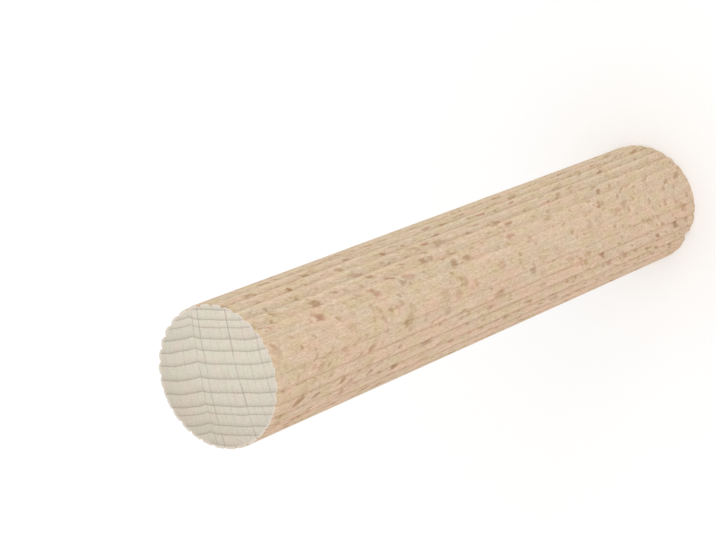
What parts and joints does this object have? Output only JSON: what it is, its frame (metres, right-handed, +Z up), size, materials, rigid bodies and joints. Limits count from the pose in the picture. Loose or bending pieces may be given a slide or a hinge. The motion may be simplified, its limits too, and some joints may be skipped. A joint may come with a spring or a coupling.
{
  "type": "fluted dowel rod",
  "caption": "Round beech dowel rod with shallow rolled flutes along its whole length and plain sawn ends.",
  "frame": {"origin": "on the surface that the rod stands on, at the middle of its lower sawn end", "axes": "+Z up along the rod's axis, from the lower sawn end to the upper one, +X through the crest of a ridge, +Y across"},
  "size_m": [0.02, 0.02, 0.1175],
  "materials": {
    "beech": "bare beech, turned and rolled, matt, with paler sawn end grain"
  },
  "bodies": {
    "root": {"fluted_rod": "beech"}
  },
  "joints": []
}
